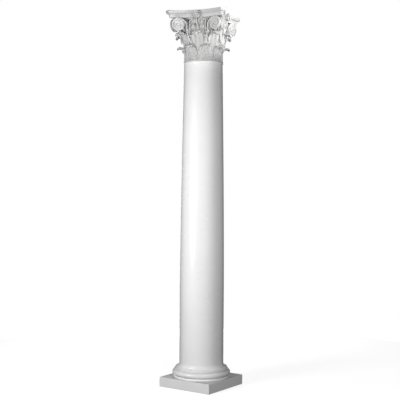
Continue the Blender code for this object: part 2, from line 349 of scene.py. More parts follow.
@dataclass(frozen=True)
class PaleFloor:
    """Plain pale studio floor with a glow, so that it meets the white surroundings without a line."""

    name: str = "floor"
    light: tuple[float, float, float] = (0.50, 0.50, 0.50)
    shade: tuple[float, float, float] = (0.47, 0.47, 0.47)
    near_glow: float = 0.77
    rim_glow: float = 0.82
    near: float = 0.35
    rim: float = 2.20

    def material(self) -> bpy.types.Material:
        """Builds the finish.

        Returns:
            The material.
        """
        g = Graph(self.name)
        away = g.add("ShaderNodeVectorMath", {"operation": "LENGTH"}, {0: g.place()}, "Value")
        spread = g.add(
            "ShaderNodeMapRange",
            {"clamp": True, "interpolation_type": "SMOOTHSTEP"},
            {"Value": away, "From Min": self.near, "From Max": self.rim},
        )
        glow = g.tint(spread, (self.near_glow,) * 3, (self.rim_glow,) * 3)
        return g.dress(
            Base_Color=g.tint(g.noise(0.8), self.light, self.shade),
            Roughness=0.9,
            Specular_IOR_Level=0.1,
            Emission_Color=glow,
            Emission_Strength=1.0,
        )


# Modelling


def deselect() -> None:
    """Deselects every object, and leaves edit mode first if it is on."""
    if bpy.context.mode != "OBJECT":
        bpy.ops.object.mode_set(mode="OBJECT")
    bpy.ops.object.select_all(action="DESELECT")


def only(piece: bpy.types.Object) -> None:
    """Selects one piece and makes it active.

    Args:
        piece: The piece.
    """
    deselect()
    piece.select_set(True)
    bpy.context.view_layer.objects.active = piece


def added(name: str) -> bpy.types.Object:
    """The primitive that was just added, named.

    Args:
        name: The name for the object and its mesh.

    Returns:
        The named object.
    """
    piece = bpy.context.active_object
    piece.name = name
    piece.data.name = name
    return piece


def apply_modifier(piece: bpy.types.Object, kind: str, **settings: Any) -> None:
    """Adds a modifier to a piece and applies it.

    Args:
        piece: The piece to change.
        kind: The modifier's type.
        settings: The modifier's properties.
    """
    only(piece)
    step = piece.modifiers.new(kind.lower(), kind)
    for key, value in settings.items():
        setattr(step, key, value)
    bpy.ops.object.modifier_apply(modifier=step.name)


def tidy(piece: bpy.types.Object, smooth_below: float = 35.0) -> bpy.types.Object:
    """Merges doubles, turns faces outwards, applies the placement and shades the piece smooth.

    Args:
        piece: The piece to finish.
        smooth_below: Degrees between faces under which an edge is shaded smooth.

    Returns:
        The same piece.
    """
    only(piece)
    bpy.ops.object.transform_apply(location=True, rotation=True, scale=True)
    bpy.ops.object.mode_set(mode="EDIT")
    bpy.ops.mesh.select_all(action="SELECT")
    bpy.ops.mesh.remove_doubles(threshold=1e-6)
    bpy.ops.mesh.normals_make_consistent(inside=False)
    bpy.ops.object.mode_set(mode="OBJECT")
    bpy.ops.object.shade_smooth_by_angle(angle=math.radians(smooth_below))
    return piece


def turned(name: str, outline: Outline, sides: int = 128) -> bpy.types.Object:
    """A ring that is extruded upwards point by point from a circle, then bridged shut.

    Args:
        name: The piece's name.
        outline: Closed outline of (radius, height) points, walked from one end to the other.
        sides: Number of facets round.

    Returns:
        The piece.
    """
    deselect()
    (first, low) = outline[0]
    bpy.ops.mesh.primitive_circle_add(vertices=sides, radius=first, location=(0, 0, low))
    piece = added(name)
    bpy.ops.object.transform_apply(location=True, rotation=True, scale=True)
    bpy.ops.object.mode_set(mode="EDIT")
    bpy.ops.mesh.select_all(action="SELECT")
    for (radius, height), (wider, higher) in zip(outline, outline[1:]):
        bpy.ops.mesh.extrude_region_move(TRANSFORM_OT_translate={"value": (0, 0, higher - height)})
        scale = wider / radius
        bpy.ops.transform.resize(value=(scale, scale, 1), center_override=(0, 0, 0))
    bpy.ops.mesh.select_all(action="DESELECT")
    bpy.ops.mesh.select_non_manifold(extend=False)
    bpy.ops.mesh.bridge_edge_loops()
    return tidy(piece)


def arc(
    centre: tuple[float, float], radii: tuple[float, float], start: float, end: float, steps: int
) -> Outline:
    """Points on an ellipse from one angle to another, both ends included."""
    angles = [start + (end - start) * i / steps for i in range(steps + 1)]
    return [(centre[0] + radii[0] * math.cos(a), centre[1] + radii[1] * math.sin(a)) for a in angles]


def lofted(name: str, rings: Sequence[Ring], endless: bool = False) -> bpy.types.Object:
    """A closed solid through rings that have one number of points.

    Args:
        name: The piece's name.
        rings: Closed cross-sections in order.
        endless: Whether the last ring runs on into the first, as round a bore.

    Returns:
        The piece.
    """
    bm = bmesh.new()
    loops = [[bm.verts.new(point) for point in ring] for ring in rings]
    for below, above in zip(loops, loops[1:] + loops[:1] if endless else loops[1:]):
        for i in range(len(below)):
            bm.faces.new((below[i - 1], below[i], above[i], above[i - 1]))
    if not endless:
        ends = [bm.faces.new(loops[0][::-1]), bm.faces.new(loops[-1])]
        bmesh.ops.triangulate(bm, faces=ends)
    mesh = bpy.data.meshes.new(name)
    bm.to_mesh(mesh)
    bm.free()
    piece = bpy.data.objects.new(name, mesh)
    bpy.context.scene.collection.objects.link(piece)
    return tidy(piece)


def spaced(piece: bpy.types.Object, count: int, first: float) -> list[bpy.types.Object]:
    """Copies spaced evenly round the axis from a first angle, in place of the piece itself.

    Args:
        piece: The piece, which is removed.
        count: Number of copies.
        first: Angle of the first copy in radians.

    Returns:
        The copies, each with its own mesh.
    """
    copies = []
    for k in range(count):
        twin = piece.copy()
        twin.data = piece.data.copy()
        bpy.context.scene.collection.objects.link(twin)
        twin.data.transform(Matrix.Rotation(first + 2 * math.pi * k / count, 4, "Z"))
        copies.append(twin)
    bpy.data.objects.remove(piece)
    return copies


def joined(name: str, pieces: Sequence[bpy.types.Object]) -> bpy.types.Object:
    """Joins pieces into one object with one name.

    Args:
        name: The name.
        pieces: The pieces, of which the first takes up the others.

    Returns:
        The joined piece.
    """
    only(pieces[0])
    for piece in pieces:
        piece.select_set(True)
    bpy.ops.object.join()
    return added(name)


# Pieces


@dataclass
class Plinth:
    """Square block under the column, with soft arrises and a bore."""

    node: str = "plinth"
    bore: float = 0.1148
    arris: float = 0.0022
    sides: int = 96

    def build(self) -> list[bpy.types.Object]:
        """Rounds the arrises of a cube and cuts the bore through it.

        Returns:
            The block.
        """
        low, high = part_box(self.node)
        deselect()
        bpy.ops.mesh.primitive_cube_add(size=1.0, location=(low + high) / 2)
        block = added("plinth_block")
        block.scale = high - low
        bpy.ops.object.transform_apply(location=True, rotation=True, scale=True)
        apply_modifier(block, "BEVEL", width=self.arris, segments=3, limit_method="ANGLE")
        deselect()
        bpy.ops.mesh.primitive_cylinder_add(vertices=self.sides, radius=self.bore, depth=1.0)
        cutter = added("plinth_bore")
        apply_modifier(block, "BOOLEAN", operation="DIFFERENCE", solver="EXACT", object=cutter)
        bpy.data.objects.remove(cutter)
        tidy(block)
        apply_modifier(block, "WEIGHTED_NORMAL", keep_sharp=True)
        return [block]


@dataclass
class Base:
    """Turned base: disc with a sloping edge, half-round torus, and a fine groove under a low step."""

    node: str = "base"
    bore: float = 0.1148
    disc: tuple[float, float] = (0.186, 0.0120)
    torus: tuple[float, float] = (0.1900, 0.0355)
    step: tuple[float, float] = (0.1765, 0.0060)
    slope: tuple[float, float] = (0.0055, 0.0095)
    knee: tuple[float, float] = (0.4, 0.45)
    groove: tuple[float, float] = (0.0070, 0.0036)
    arris: float = 0.0009

    def build(self) -> list[bpy.types.Object]:
        """Turns the profile and rounds its arrises.

        Returns:
            The moulding.
        """
        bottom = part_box(self.node)[0].z
        bead = self.torus[1] / 2
        disc_top = bottom + self.disc[1]
        torus_top = disc_top + self.torus[1]
        knee = (self.slope[0] * self.knee[0], self.slope[1] * self.knee[1])
        groove, half_groove = self.step[0] - self.groove[0], self.groove[1] / 2
        outline = [(self.bore, bottom), (self.disc[0], bottom), (self.disc[0], disc_top - self.slope[1])]
        outline += [(self.disc[0] - knee[0], disc_top - knee[1]), (self.disc[0] - self.slope[0], disc_top)]
        outline += arc((self.torus[0] - bead, disc_top + bead), (bead, bead), -QUARTER, QUARTER * 0.9, 24)
        outline += [(groove, torus_top - half_groove), (groove, torus_top + half_groove)]
        outline += [(self.step[0], torus_top + half_groove), (self.step[0], torus_top + self.step[1])]
        outline += [(self.bore, torus_top + self.step[1])]
        moulding = turned("base_moulding", outline)
        apply_modifier(moulding, "BEVEL", width=self.arris, segments=2, limit_method="ANGLE",
                       angle_limit=math.radians(40))
        return [tidy(moulding)]


@dataclass
class Shaft:
    """Hollow shaft: fillet and ringed cove at the foot, entasis, and a small cove at the neck."""

    node: str = "shaft"
    foot: float = 0.1448
    neck: float = 0.1262
    wall: float = 0.030
    straight: float = 0.22
    power: float = 1.5
    fillet: tuple[float, float] = (0.0255, 0.0110)
    foot_cove: tuple[float, float] = (0.0225, 0.0260)
    neck_cove: tuple[float, float] = (0.0035, 0.0120)
    neck_lip: float = 0.0030
    rings: int = 3
    ring: float = 0.0022
    ringed: float = 0.62
    arris: float = 0.0009
    steps: int = 60

    def radius(self, share: float) -> float:
        """Radius at a share of the height between the coves."""
        rise = max(0.0, (share - self.straight) / (1 - self.straight))
        return self.foot - (self.foot - self.neck) * rise**self.power

    def build(self) -> list[bpy.types.Object]:
        """Turns the profile and rounds its arrises.

        Returns:
            The tube.
        """
        low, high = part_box(self.node)
        start = low.z + self.fillet[1] + self.foot_cove[1]
        end = high.z - self.neck_lip - self.neck_cove[1]
        shares = [i / self.steps for i in range(self.steps + 1)]
        outline = [(self.foot - self.wall, low.z), (self.foot + self.fillet[0], low.z)]
        outline += [(self.foot + self.fillet[0], low.z + self.fillet[1])]
        for radius, height in arc((self.foot + self.foot_cove[0], start), self.foot_cove, 3 * QUARTER,
                                  2 * QUARTER, 36)[:-1]:
            share = min(1.0, (height - low.z - self.fillet[1]) / (self.foot_cove[1] * self.ringed))
            swell = math.sin(math.pi * self.rings * share) ** 2 * (1 - share * 0.5)
            outline.append((radius + self.ring * swell * 0.6, height + self.ring * swell))
        outline += [(self.radius(s), start + (end - start) * s) for s in shares]
        outline += arc((self.neck + self.neck_cove[0], end), self.neck_cove, 2 * QUARTER, QUARTER, 8)[1:]
        outline += [(self.neck + self.neck_cove[0], high.z), (self.neck - self.wall, high.z)]
        outline += [(self.radius(s) - self.wall, start + (end - start) * s) for s in shares[-1::-6]]
        tube = turned("shaft_tube", outline)
        apply_modifier(tube, "BEVEL", width=self.arris, segments=2, limit_method="ANGLE",
                       angle_limit=math.radians(40))
        return [tidy(tube)]


@dataclass
class Bell:
    """Core of the capital: astragal, bell and the bell's lip, all round one bore."""

    bottom: float
    top: float
    bore: float = 0.0962
    radius: float = 0.1223
    flare: float = 0.0117
    lip: float = 0.0098
    astragal: tuple[float, float] = (0.1301, 0.0148)
    steps: int = 24
    power: float = 2.2

    def build(self) -> list[bpy.types.Object]:
        """Turns the core.

        Returns:
            The core.
        """
        bead = self.astragal[1] / 2
        low = self.bottom
        lip_low = self.top - self.lip
        outline = [(self.bore, low)]
        outline += arc((self.astragal[0] - bead, low + bead), (bead, bead), -QUARTER, QUARTER, 16)
        start = low + self.astragal[1]
        outline += [(self.radius, start)]
        height = lip_low - start
        for i in range(1, self.steps + 1):
            share = i / self.steps
            outline.append((self.radius + self.flare * share**self.power, start + height * share))
        round_lip = self.lip / 2
        middle = (self.radius + self.flare + round_lip, lip_low + round_lip)
        outline += arc(middle, (round_lip, round_lip), -QUARTER, QUARTER, 10)
        outline += [(self.bore, self.top)]
        return [turned("capital_bell", outline, 96)]


class Tier(Enum):
    """Which leaves of the capital: (rise, reach, width, first angle, number)."""

    LOW = (0.099, 0.0475, 0.092, 0.5, 8)
    HORN = (0.186, 0.0772, 0.0861, 1.0, 4)
    FACE = (0.186, 0.0655, 0.0861, 0.0, 4)


@dataclass
class Leaves:
    """One tier of acanthus leaves that stand on the astragal and curl over at the top."""

    tier: Tier
    bottom: float
    bell: float = 0.1223
    foot: float = 0.0074
    turn: float = math.radians(155.0)
    curl_power: float = 3.0
    thickness: float = 0.0065
    lobes: float = 4.0
    lobe_start: float = 0.10
    skew: float = 0.75
    lobe_depth: float = 0.26
    rib: float = 0.0048
    flute: float = 0.0042
    pipe: float = 0.0044
    finger: float = 0.0012
    finger_depth: float = 0.045
    narrowing: float = 0.50
    belly: float = 0.18
    tip: float = 0.05
    spine: float = 0.10
    pitch: float = 0.215
    border: tuple[float, float] = (0.52, 0.26)
    fine: int = 480
    across: int = 44
    along: int = 72

    def line(self) -> Callable[[float], tuple[float, float, float]]:
        """The leaf's middle line.

        Returns:
            A function from a share of the length to (outward, height, lean).
        """
        rise, reach = self.tier.value[:2]
        fine = self.fine
        out, up = [0.0], [0.0]
        for i in range(fine):
            lean = self.turn * ((i + 0.5) / fine) ** self.curl_power
            out.append(out[-1] + math.sin(lean))
            up.append(up[-1] + math.cos(lean))
        wide = reach / max(out)
        tall = (rise - self.foot) / max(up)

        def at(share: float) -> tuple[float, float, float]:
            """Point and lean at a share of the length.

            Args:
                share: Share of the length.

            Returns:
                (outward, height, lean) there.
            """
            spot = min(1.0, max(0.0, share)) * fine
            i = min(fine - 1, int(spot))
            part = spot - i
            lean = self.turn * share**self.curl_power
            return (
                (out[i] * (1 - part) + out[i + 1] * part) * wide,
                self.foot + (up[i] * (1 - part) + up[i + 1] * part) * tall,
                lean,
            )

        return at

    def half_width(self, share: float) -> float:
        """Half the width of the leaf's body, before its lobes are cut.

        Args:
            share: Share of the length.

        Returns:
            Half the width in metres.
        """
        swell = 1 - self.belly + self.belly * math.sin(math.pi * min(1.0, share / 0.8))
        body = (1 - self.narrowing * share**4) * swell
        end = math.sqrt(1 - (max(0.0, share - 1 + self.tip) / self.tip) ** 2 * 0.75)
        return self.tier.value[2] / 2 * body * end

    def relief(self, across: float, share: float) -> tuple[float, float]:
        """The leaf's carving: a rib and upright flutes, and lobes with fingers along the edges.

        Args:
            across: From -1 to 1 across the leaf.
            share: Share of the length.

        Returns:
            Height of the carving in metres, and how much of the width is left between the lobes.
        """
        away = abs(across)
        phase = self.lobes * share + self.lobe_start - self.skew * (away**1.3 - 1.0)
        inside = abs((phase % 1.0) - 0.5) * 2
        fingers = abs(((phase * 3.0) % 1.0) - 0.5) * 2
        edge = min(1.0, max(0.0, (away - self.border[0]) / self.border[1]))
        flutes = 0.5 - 0.5 * math.cos(2 * math.pi * (away - self.spine) / self.pitch)
        flutes *= min(1.0, max(0.0, (away - self.spine) / 0.08)) * (1 - edge)
        lobe = self.pipe * (1 - inside**3.0) + self.finger * (1 - fingers**2)
        rib = self.rib * math.exp(-((across / 0.09) ** 2)) * (1 - 0.35 * share)
        cut = 1 - self.lobe_depth * inside**4 - self.finger_depth * fingers**3
        return lobe * edge + self.flute * flutes + rib, cut

    def build(self) -> list[bpy.types.Object]:
        """Shapes a grid into one leaf, gives it thickness and turns copies round the bell.

        Returns:
            The leaves of the tier.
        """
        first, count = self.tier.value[3:]
        deselect()
        bpy.ops.mesh.primitive_grid_add(x_subdivisions=self.across, y_subdivisions=self.along, size=1.0)
        leaf = added("capital_leaf_" + self.tier.name.lower())
        at = self.line()
        for vertex in leaf.data.vertices:
            across = vertex.co.x * 2
            share = vertex.co.y + 0.5
            outward, height, lean = at(share)
            carving, cut = self.relief(across, share)
            half = self.half_width(share) * (1 - (1 - cut) * across**2)
            y = across * half
            front = Vector((math.cos(lean), 0.0, -math.sin(lean)))
            middle = Vector((self.bell + outward - y * y / (2 * self.bell), y, self.bottom + height))
            vertex.co = middle + front * carving
        apply_modifier(leaf, "SOLIDIFY", thickness=self.thickness, offset=-1.0, use_even_offset=False)
        tidy(leaf, 60.0)
        return spaced(leaf, count, first * 2 * math.pi / LEAVES)


@dataclass
class Abacus:
    """Slab on top: hollow sides, cut horns, and a cove and a fillet under a lip."""

    top: float
    height: float = 0.0450
    lip: float = 0.0150
    side: float = 0.4060
    horn: float = 0.0391
    hollow: float = 0.0420
    cove: float = 0.0206
    fillet: float = 0.0060
    ledge: float = 0.2
    arris: float = 0.0016
    bore: float = 0.0962
    steps: int = 32
    # Shares of the ledge's depth and of the fillet's height, from the cove up to the lip
    stair: tuple[tuple[float, float], ...] = ((1.0, 0.2), (0.7, 0.3), (0.7, 0.95), (0.15, 1.0))
    # Shares of the arris, inwards and up or down the face, and inwards alone on the flat top
    rounding: tuple[tuple[float, float], ...] = ((0.0, 1.0), (0.3, 0.3), (1.0, 0.0))
    beside: tuple[float, float] = (1.6, 4.0)

    def outline(self) -> Ring:
        """Plan against the clock: four hollow sides joined by the horns' cut ends.

        Returns:
            The points of the plan.
        """
        half = self.side / 2 - self.horn / math.sqrt(2)
        waist = self.side / 2 - self.hollow
        points = []
        for k in range(SIDES):
            for i in range(self.steps + 1):
                along = half * (2 * i / self.steps - 1)
                out = waist + self.hollow * (along / half) ** 2
                points.append(Matrix.Rotation(k * QUARTER, 2) @ Vector((out, along)))
        return points

    @staticmethod
    def inset(outline: Ring, depth: float) -> Ring:
        """The plan moved inwards, square to its edges.

        Args:
            outline: The plan.
            depth: Distance in metres.

        Returns:
            The smaller plan.
        """
        moved = []
        for before, here, after in zip(outline[-1:] + outline[:-1], outline, outline[1:] + outline[:1]):
            arriving = (here - before).normalized()
            leaving = (after - here).normalized()
            inward = Vector((-arriving.y, arriving.x))
            middle = (inward + Vector((-leaving.y, leaving.x))).normalized()
            moved.append(here + middle * depth / middle.dot(inward))
        return moved

    def build(self) -> list[bpy.types.Object]:
        """Lofts the slab through insets of its plan, round the bore and shut.

        Returns:
            The slab.
        """
        bottom = self.top - self.height
        rise = self.height - self.lip - self.fillet
        shelf = self.ledge * self.cove
        soft = self.arris
        step = bottom + rise
        lip_low = self.top - self.lip * 0.85
        curve = arc((0.0, bottom), (self.cove, rise), 2 * QUARTER, QUARTER, 12)
        profile = [(shelf - across * (1 - self.ledge), height) for across, height in curve]
        profile += [(shelf * across, step + self.fillet * up) for across, up in self.stair]
        profile += [(soft * inward, lip_low + soft * off) for inward, off in self.rounding[::-1]]
        profile += [(soft * inward, self.top - soft * off) for inward, off in self.rounding]
        profile += [(soft * share, self.top) for share in self.beside]
        plan = self.outline()
        rings = [[Vector((*p, height)) for p in self.inset(plan, depth)] for depth, height in profile]
        hole = [p.normalized() * self.bore for p in plan]
        rings = [[Vector((*p, bottom)) for p in hole]] + rings + [[Vector((*p, self.top)) for p in hole]]
        return [lofted("capital_abacus", rings, endless=True)]


@dataclass
class Scrolls:
    """Pairs of spirals on stalks: volutes under the horns or helices under the flowers."""

    name: str
    height: float
    radius: float
    run: float
    spread: float
    slant: float
    turns: float
    band: float
    width: float
    foot: tuple[float, float]
    first: float
    eye: float
    tightening: float = 0.33
    power: float = 1.15
    swing: float = 0.33
    thinning: float = 0.40
    stalk_foot: float = 0.42
    widening: int = 16

    # Shares of half the thickness and of half the width, round the band
    BAND = (
        (0.55, -1.0), (1.0, -0.86), (1.0, -0.62), (0.35, -0.25), (0.20, 0.0), (0.35, 0.25),
        (1.0, 0.62), (1.0, 0.86), (0.55, 1.0), (-0.55, 1.0), (-1.0, 0.86), (-1.0, -0.86),
        (-0.55, -1.0),
    )

    def path(self, stalk: int = 18, per_turn: int = 40) -> Ring:
        """A stalk that rises into a spiral wound inwards.

        Args:
            stalk: Number of points on the stalk.
            per_turn: Number of points in one turn of the spiral.

        Returns:
            (along, up) points from the foot to the eye.
        """
        outer = self.radius - self.band / 2
        start = outer * (1 + self.swing)
        points = []
        for i in range(stalk):
            share = i / stalk
            points.append(
                Vector(self.foot) * (1 - share) ** 2
                + Vector((-start, self.foot[1] / 2)) * 2 * share * (1 - share)
                + Vector((-start, 0.0)) * share**2
            )
        count = round(self.turns * per_turn)
        for i in range(count + 1):
            wound = self.turns * i / count
            angle = math.pi - 2 * math.pi * wound
            swing = self.swing * max(0.0, 1 - 4 * wound) ** 2
            size = outer * (1 - self.tightening * wound**self.power + swing)
            points.append(Vector((math.cos(angle), math.sin(angle))) * size)
        return points

    def strip(self, centre: Vector, along: Vector, across: Vector) -> bpy.types.Object:
        """The band: a strip with rounded edges and a groove down its outer face, slender at its foot.

        Args:
            centre: The spiral's centre.
            along: Level direction in the spiral's plane.
            across: Direction square to that plane.

        Returns:
            The piece.
        """
        line = self.path()
        rings = []
        for i, point in enumerate(line):
            before, after = line[max(0, i - 1)], line[min(len(line) - 1, i + 1)]
            heading = (after - before).normalized()
            outward = Vector((-heading.y, heading.x))
            thick = self.band / 2 * (1.0 - self.thinning * i / len(line))
            wide = self.width / 2
            wide *= self.stalk_foot + (1 - self.stalk_foot) * min(1.0, i / self.widening)
            ring = []
            for n, w in self.BAND:
                spot = point + outward * thick * n
                ring.append(centre + along * spot.x + Vector((0, 0, spot.y)) + across * wide * w)
            rings.append(ring)
        return lofted(self.name + "_band", rings)

    def web(self, centre: Vector, along: Vector, across: Vector) -> bpy.types.Object:
        """The plate inside the spiral, dished on both faces, with a round eye.

        Args:
            centre: The spiral's centre.
            along: Level direction in the spiral's plane.
            across: Direction square to that plane.

        Returns:
            The piece.
        """
        plate, boss = self.width * 0.28, self.width * 0.56
        half = [(self.eye * 0.02, boss), (self.eye * 0.6, boss * 0.93), (self.eye * 0.9, boss * 0.72)]
        half += [(self.eye, plate * 0.9), (self.radius - self.band / 2, plate)]
        profile = [(radius, -depth) for radius, depth in half] + half[::-1]
        rings = [self.circle(centre, along, across, radius, depth) for radius, depth in profile]
        return lofted(self.name + "_web", rings)

    @staticmethod
    def circle(centre: Vector, along: Vector, across: Vector, radius: float, depth: float) -> Ring:
        """A circle of points in the spiral's plane, moved sideways by a depth."""
        points = arc((0, 0), (radius, radius), 0, 2 * math.pi, 32)[:-1]
        return [centre + along * x + Vector((0, 0, z)) + across * depth for x, z in points]

    def build(self) -> list[bpy.types.Object]:
        """Bends both scrolls of one pair and turns copies of them round the capital.

        Returns:
            The bands and webs.
        """
        pieces = []
        for side in (-1, 1):
            centre = Vector((self.run, side * self.spread, self.height))
            along = Vector((math.cos(self.slant), -side * math.sin(self.slant), 0.0))
            across = Vector((-along.y, along.x, 0.0))
            for piece in (self.strip(centre, along, across), self.web(centre, along, across)):
                pieces += spaced(piece, SIDES, self.first * QUARTER)
        return pieces


@dataclass
class Stems:
    """Fluted stems with a collar and a calyx, from which the scrolls grow."""

    bottom: float
    bell: float = 0.1223
    radius: float = 0.0137
    low: float = 0.085
    high: float = 0.168
    flutes: int = 5
    sides: int = 40

    # Share of the height, size and waviness of each ring
    RINGS = (
        (0.0, 0.55, 0.10), (0.55, 0.78, 0.14), (0.66, 0.84, 0.10), (0.68, 1.06, 0.0),
        (0.71, 1.14, 0.0), (0.74, 1.06, 0.0), (0.76, 0.84, 0.06), (0.86, 1.05, 0.16),
        (0.95, 1.42, 0.24), (1.0, 1.62, 0.30), (0.985, 1.30, 0.26), (0.95, 0.90, 0.2),
    )

    def build(self) -> list[bpy.types.Object]:
        """Lofts one stem and turns copies of it round the bell.

        Returns:
            The stems.
        """
        rings = []
        for share, size, wave in self.RINGS:
            height = self.bottom + self.low + (self.high - self.low) * share
            ring = []
            for i in range(self.sides):
                angle = 2 * math.pi * i / self.sides
                petal = abs(math.cos(self.flutes * angle / 2)) - 0.5
                radius = self.radius * size * (1 + wave * petal)
                x, y = radius * math.cos(angle), radius * math.sin(angle)
                ring.append(Vector((self.bell + x, y, height)))
            rings.append(ring)
        return spaced(lofted("capital_stem", rings), LEAVES, QUARTER / 4)


@dataclass
class Calyx:
    """Fluted leaves that fan out of each stem behind the scrolls, one to the horn, one to the face."""

    bottom: float
    bell: float = 0.1223
    low: float = 0.146
    rise: float = 0.104
    fan: float = 0.036
    reach: float = 0.026
    width: float = 0.038
    thickness: float = 0.0045
    flute: float = 0.0024
    ribs: float = 1.5
    crown: float = 0.005
    notch: float = 0.30
    lobes: float = 4.0
    across: int = 24
    along: int = 36

    def spot(self, share: float, side: int) -> tuple[float, float, float]:
        """The middle line of one leaf.

        Args:
            share: Share of the length.
            side: -1 or 1, for which of the two leaves.

        Returns:
            (outward, sideways, height) in metres.
        """
        outward = 0.004 + self.reach * share**2.4
        sideways = side * self.fan * share**1.6
        return outward, sideways, self.low + self.rise * (share - 0.16 * share**5)

    def build(self) -> list[bpy.types.Object]:
        """Shapes a grid into each of the two leaves and turns copies round the bell.

        Returns:
            The leaves.
        """
        leaves = []
        for side in (-1, 1):
            deselect()
            bpy.ops.mesh.primitive_grid_add(x_subdivisions=self.across, y_subdivisions=self.along, size=1.0)
            leaf = added("capital_calyx_leaf")
            for vertex in leaf.data.vertices:
                across, share = vertex.co.x * 2, vertex.co.y + 0.5
                outward, sideways, height = self.spot(share, side)
                later = self.spot(share + 0.01, side)
                heading = Vector((later[1] - sideways, later[2] - height)).normalized()
                lobe = abs(((self.lobes * share + 0.3) % 1.0) - 0.5) * 2
                body = 0.45 + 0.55 * math.sin(math.pi * min(1.0, 0.12 + share / 1.15))
                half = self.width / 2 * body * (1 - self.notch * lobe**4 * across**2)
                half *= math.sqrt(max(0.04, 1 - max(0.0, (share - 0.86) / 0.14) ** 2))
                y = sideways + heading.y * across * half
                z = height - heading.x * across * half
                flutes = math.cos(2 * math.pi * across * self.ribs) * self.flute
                x = self.bell + outward + flutes - self.crown * across**2 - y * y / (2 * self.bell)
                vertex.co = Vector((x, y, self.bottom + z))
            apply_modifier(leaf, "SOLIDIFY", thickness=self.thickness, offset=-1.0, use_even_offset=False)
            tidy(leaf, 60.0)
            leaves += spaced(leaf, LEAVES, QUARTER / 4)
        return leaves


@dataclass
class Flowers:
    """A flower in the middle of each side of the abacus."""

    top: float
    waist: float = 0.1610
    radius: float = 0.0270
    reach: float = 0.0235
    petals: int = 5
    foot: float = 0.132
    drop: float = 0.165
    stem: float = 0.0050
    steps: int = 24
    sides: int = 80

    # Share of the reach, size, waviness and turn of each ring
    RINGS = (
        (-0.8, 0.80, 0.0, 0.0), (0.00, 0.86, 0.10, 0.0), (0.30, 0.98, 0.24, 0.0),
        (0.52, 1.0, 0.30, 0.0), (0.56, 0.92, 0.28, 0.0), (0.40, 0.66, 0.16, 0.0),
        (0.34, 0.60, 0.10, 0.5), (0.62, 0.66, 0.28, 0.5), (0.80, 0.64, 0.30, 0.5),
        (0.74, 0.50, 0.22, 0.5), (0.56, 0.34, 0.05, 0.5), (0.66, 0.28, 0.0, 0.0),
        (0.88, 0.25, 0.0, 0.0), (0.98, 0.16, 0.0, 0.0), (1.0, 0.03, 0.0, 0.0),
    )

    def build(self) -> list[bpy.types.Object]:
        """Lofts one flower out of waved rings and turns copies of it round the abacus.

        Returns:
            The flowers.
        """
        middle = self.top - self.radius
        rings = []
        for reach, size, wave, turn in self.RINGS:
            out = self.waist + self.reach * reach
            ring = []
            for i in range(self.sides):
                angle = 2 * math.pi * i / self.sides
                lobe = abs(math.cos(self.petals * (angle / 2 + turn * math.pi / self.petals)))
                radius = self.radius * size * (1 - wave * (1 - lobe**0.7))
                ring.append(Vector((out, radius * math.sin(angle), middle + radius * math.cos(angle))))
            rings.append(ring)
        flower = lofted("capital_flower", rings)
        return spaced(flower, SIDES, 0.0) + spaced(self.stalk(), SIDES, 0.0)

    def stalk(self) -> bpy.types.Object:
        """The stalk that climbs the bell from behind a leaf to its flower.

        Returns:
            The stalk.
        """
        rings = []
        for i in range(self.steps + 1):
            share = i / self.steps
            out = self.foot + (self.waist - self.foot - 0.004) * share**1.6
            radius = self.stem * (1.25 - 0.35 * share + 0.5 * max(0.0, share - 0.75) ** 0.5)
            height = self.top - self.drop + (self.drop - self.radius) * share
            sway = 0.004 * math.sin(2 * math.pi * share)
            rings.append([Vector((out + x, y + sway, height))
                          for x, y in arc((0, 0), (radius, radius), 0, 2 * math.pi, 16)[:-1]])
        return lofted("capital_flower_stalk", rings)


@dataclass
class Capital:
    """The whole casting, turned against the plinth as it stands in the photograph."""

    node: str = "capital"
    turn: float = math.radians(17.8)
    abacus_height: float = 0.0450
    sunk: float = 0.004

    def build(self) -> list[bpy.types.Object]:
        """Builds every part of the casting in its own square position, then turns it.

        Returns:
            The capital's pieces.
        """
        low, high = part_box(self.node)
        under = high.z - self.abacus_height
        volute = Scrolls(
            "capital_volute", height=under - 0.0460 + 0.0029, radius=0.0460, run=0.2005, spread=0.0235,
            slant=math.radians(25.0), turns=1.95, band=0.0088, width=0.0196, foot=(-0.0782, -0.1098),
            first=0.5, eye=0.0085,
        )
        helix = Scrolls(
            "capital_helix", height=under - 0.0230, radius=0.0230, run=0.1426, spread=0.0250,
            slant=math.radians(65.0), turns=1.6, band=0.0063, width=0.0235, foot=(-0.0391, -0.1001),
            first=0.0, eye=0.0050,
        )
        groups = {
            "capital_core": Bell(low.z, under + self.sunk).build(),
            "capital_slab": Abacus(high.z).build(),
            "capital_low_leaves": Leaves(Tier.LOW, low.z).build(),
            "capital_horn_leaves": Leaves(Tier.HORN, low.z, along=84).build(),
            "capital_face_leaves": Leaves(Tier.FACE, low.z, along=84).build(),
            "capital_volutes": volute.build(),
            "capital_helices": helix.build(),
            "capital_stems": Stems(low.z).build(),
            "capital_calyx": Calyx(low.z).build(),
            "capital_flowers": Flowers(high.z).build(),
        }
        pieces = []
        for name, parts in groups.items():
            piece = joined(name, parts)
            piece.data.transform(Matrix.Rotation(self.turn, 4, "Z"))
            pieces.append(piece)
        return pieces


# Studio


